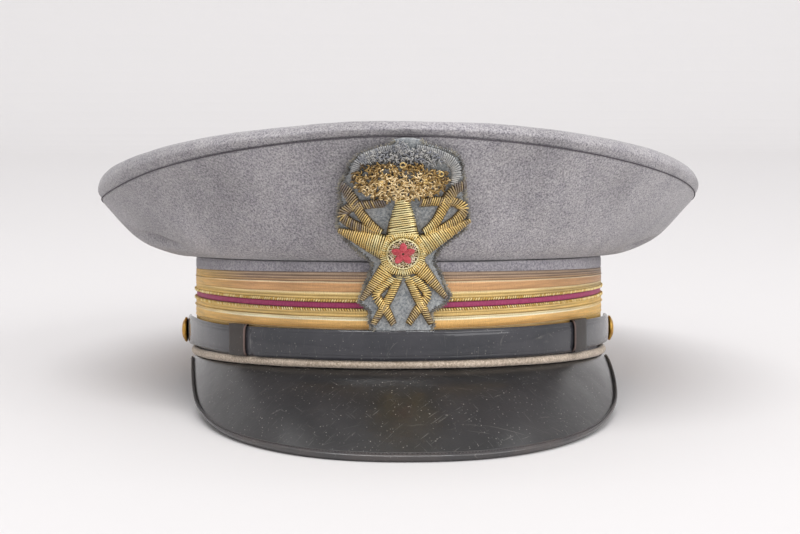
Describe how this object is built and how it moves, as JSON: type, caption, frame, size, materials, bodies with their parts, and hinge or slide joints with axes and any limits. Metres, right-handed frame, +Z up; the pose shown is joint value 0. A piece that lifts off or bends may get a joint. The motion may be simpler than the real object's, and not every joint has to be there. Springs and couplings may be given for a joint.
{
  "type": "military cap",
  "caption": "Officer's peaked cap in grey felt: wide crown, gold-laced band, leather chin strap and peak, embroidered bullion badge.",
  "frame": {"origin": "bottom centre of the cap's box, on the surface that it rests on", "axes": "+Z up, the badge and the peak face -Y, +X is to the right of a viewer in front of the cap"},
  "size_m": [0.2474, 0.2856, 0.1149],
  "materials": {
    "grey_felt": "milled wool felt with a short nap",
    "grey_cloth": "close woollen cloth",
    "gold_lace": "woven metal-thread lace",
    "maroon_stripe": "woven silk stripe",
    "beige_piping": "cloth-covered cord",
    "black_leather": "polished and worn",
    "strap_leather": "lacquered and worn",
    "brown_leather": "worn, with raw edges",
    "gilt_brass": "gilt",
    "bullion": "coiled gold wire, couched over padding",
    "pale_bullion": "coiled pale wire",
    "red_silk": "satin stitch",
    "tarnished_bullion": "coiled gold and silver wire, tarnished"
  },
  "bodies": {
    "root": {"crown_top": "grey_felt", "crown_side": "grey_felt", "band": "grey_cloth", "lace_upper": "gold_lace", "stripe": "maroon_stripe", "lace_lower": "gold_lace", "piping": "beige_piping", "peak": "black_leather", "peak_binding": "black_leather", "strap_inner": "strap_leather", "strap_outer": "strap_leather", "slider_left": "brown_leather", "slider_right": "brown_leather", "button_left": "gilt_brass", "button_right": "gilt_brass", "badge_patch": "grey_cloth", "badge_star": "bullion", "badge_disc": "pale_bullion", "badge_rosette": "red_silk", "badge_coronet": "tarnished_bullion", "badge_serpent_left": "bullion", "badge_serpent_right": "bullion", "badge_tails_left": "bullion", "badge_tails_right": "bullion"}
  },
  "joints": []
}
